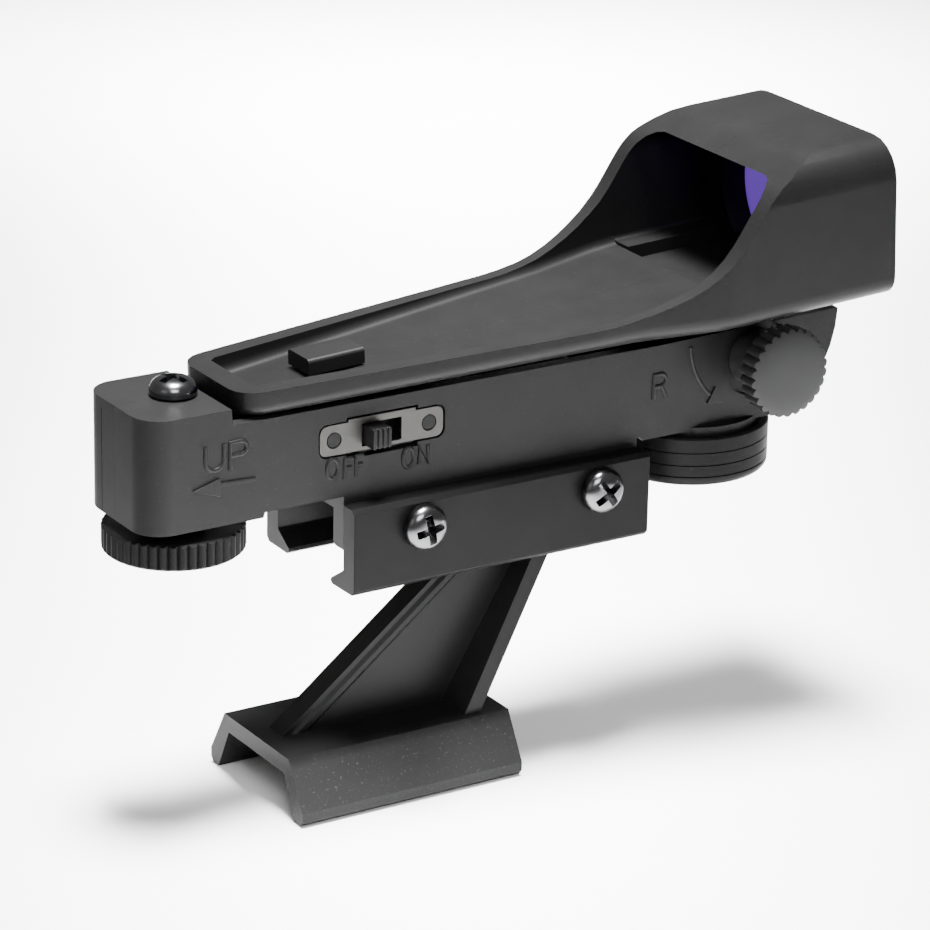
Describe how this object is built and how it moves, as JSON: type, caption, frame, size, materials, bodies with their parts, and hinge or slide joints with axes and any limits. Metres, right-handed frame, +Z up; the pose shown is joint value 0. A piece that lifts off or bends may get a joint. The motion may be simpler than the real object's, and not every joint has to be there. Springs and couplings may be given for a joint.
{
  "type": "finder scope",
  "caption": "Red-dot finder scope: tapered housing with a lens hood, adjusting frame, rail clamp and slanted bracket with a dovetail foot.",
  "frame": {"origin": "middle of the underside of the foot's web, the face that stands over the finder shoe", "axes": "+X forward towards the lens, +Y left, +Z up from the foot to the hood"},
  "size_m": [0.1419, 0.045, 0.1057],
  "materials": {
    "housing": "satin moulded black with a fine grain",
    "frame": "dark grey moulding, fine grain, satin",
    "small_screws": "black zinc",
    "clamp_plate": "satin black paint",
    "screws": "dark bright nickel",
    "nuts": "zinc",
    "bracket": "dark grey moulding with a coarse grain",
    "knobs": "satin black",
    "brass_nuts": "turned",
    "springs": "spring steel",
    "switch_plate": "nickel-plated sheet",
    "switch_plastic": "black moulding",
    "battery": "bright can",
    "battery_cap": "dark grey moulding, satin",
    "contacts": "nickel-plated strip",
    "lens": "coated, violet",
    "optic_plastic": "satin black",
    "lamp": "clear red"
  },
  "bodies": {
    "bracket": {"bracket": "bracket"},
    "frame": {"frame_right": "frame", "frame_left": "frame", "frame_screw_1": "small_screws", "frame_screw_2": "small_screws", "frame_screw_3": "small_screws", "frame_screw_4": "small_screws", "clamp_nut_rear": "nuts", "clamp_nut_front": "nuts", "switch_plate": "switch_plate", "switch_body": "switch_plastic", "contact_negative": "contacts", "contact_positive": "contacts", "altitude_spring": "springs", "azimuth_spring": "springs"},
    "clamp": {"clamp_plate": "clamp_plate"},
    "clamp_screw_rear": {"clamp_screw_rear": "screws"},
    "clamp_screw_front": {"clamp_screw_front": "screws"},
    "altitude_adjuster": {"altitude_screw": "screws", "altitude_knob": "knobs"},
    "azimuth_adjuster": {"azimuth_screw": "screws", "azimuth_knob": "knobs"},
    "azimuth_pivot": {"azimuth_nut": "brass_nuts"},
    "housing": {"housing_right": "housing", "housing_left": "housing", "lens": "lens", "lens_bezel": "optic_plastic", "led_cover": "optic_plastic", "led_lamp": "lamp", "housing_screw_1": "small_screws", "housing_screw_2": "small_screws"},
    "altitude_barrel": {"altitude_nut": "brass_nuts"},
    "slider": {"switch_slider": "switch_plastic"},
    "cell": {"battery": "battery"},
    "cap": {"battery_cap": "battery_cap"}
  },
  "joints": [
    {"name": "rail_slide", "type": "slide", "parent": "bracket", "child": "frame", "axis": [1, 0, 0], "range_m": [-0.005, 0.005]},
    {"name": "clamp_release", "type": "slide", "parent": "frame", "child": "clamp", "axis": [0, -1, 0], "range_m": [0, 0.002]},
    {"name": "clamp_screw_rear_turn", "type": "hinge", "parent": "clamp", "child": "clamp_screw_rear", "pos_m": [0.00135, -0.015, 0.0423], "axis": [0, -1, 0], "range_deg": [0, 1028.6]},
    {"name": "clamp_screw_front_turn", "type": "hinge", "parent": "clamp", "child": "clamp_screw_front", "pos_m": [0.03675, -0.015, 0.0423], "axis": [0, -1, 0], "range_deg": [0, 1028.6]},
    {"name": "altitude_knob_turn", "type": "hinge", "parent": "frame", "child": "altitude_adjuster", "pos_m": [-0.03755, 0, 0.0436], "axis": [0, 0, -1], "range_deg": [0, 2546.1]},
    {"name": "azimuth_knob_turn", "type": "hinge", "parent": "frame", "child": "azimuth_adjuster", "pos_m": [0.07155, -0.015, 0.0592], "axis": [0, -1, 0], "range_deg": [-1175.2, 1175.2]},
    {"name": "azimuth_swing", "type": "hinge", "parent": "frame", "child": "azimuth_pivot", "pos_m": [-0.03755, 0, 0.0592], "axis": [0, 0, 1], "range_deg": [-1.2, 1.2], "deforming": ["azimuth_spring"]},
    {"name": "altitude_tilt", "type": "hinge", "parent": "azimuth_pivot", "child": "housing", "pos_m": [0.07155, 0, 0.0592], "axis": [0, 1, 0], "range_deg": [0, 2.6], "deforming": ["altitude_spring"]},
    {"name": "altitude_barrel_turn", "type": "hinge", "parent": "housing", "child": "altitude_barrel", "pos_m": [-0.03755, 0, 0.0536], "axis": [0, 1, 0], "range_deg": [-2.6, 0]},
    {"name": "switch_slide", "type": "slide", "parent": "frame", "child": "slider", "axis": [1, 0, 0], "range_m": [0, 0.0034]},
    {"name": "cap_release", "type": "slide", "parent": "frame", "child": "cell", "axis": [0, 0, -1], "range_m": [0, 0.012]},
    {"name": "cap_turn", "type": "hinge", "parent": "cell", "child": "cap", "pos_m": [0.06505, 0, 0.0426], "axis": [0, 0, 1], "range_deg": [0, 45]}
  ],
  "couplings": [
    {"joint": "clamp_screw_rear_turn", "follows": "clamp_release", "rad_per_m": 8975.9},
    {"joint": "clamp_screw_front_turn", "follows": "clamp_release", "rad_per_m": 8975.9},
    {"joint": "azimuth_knob_turn", "follows": "azimuth_swing", "ratio": 979.24},
    {"joint": "altitude_knob_turn", "follows": "altitude_tilt", "ratio": 979.24},
    {"joint": "altitude_barrel_turn", "follows": "altitude_tilt", "ratio": -1}
  ]
}
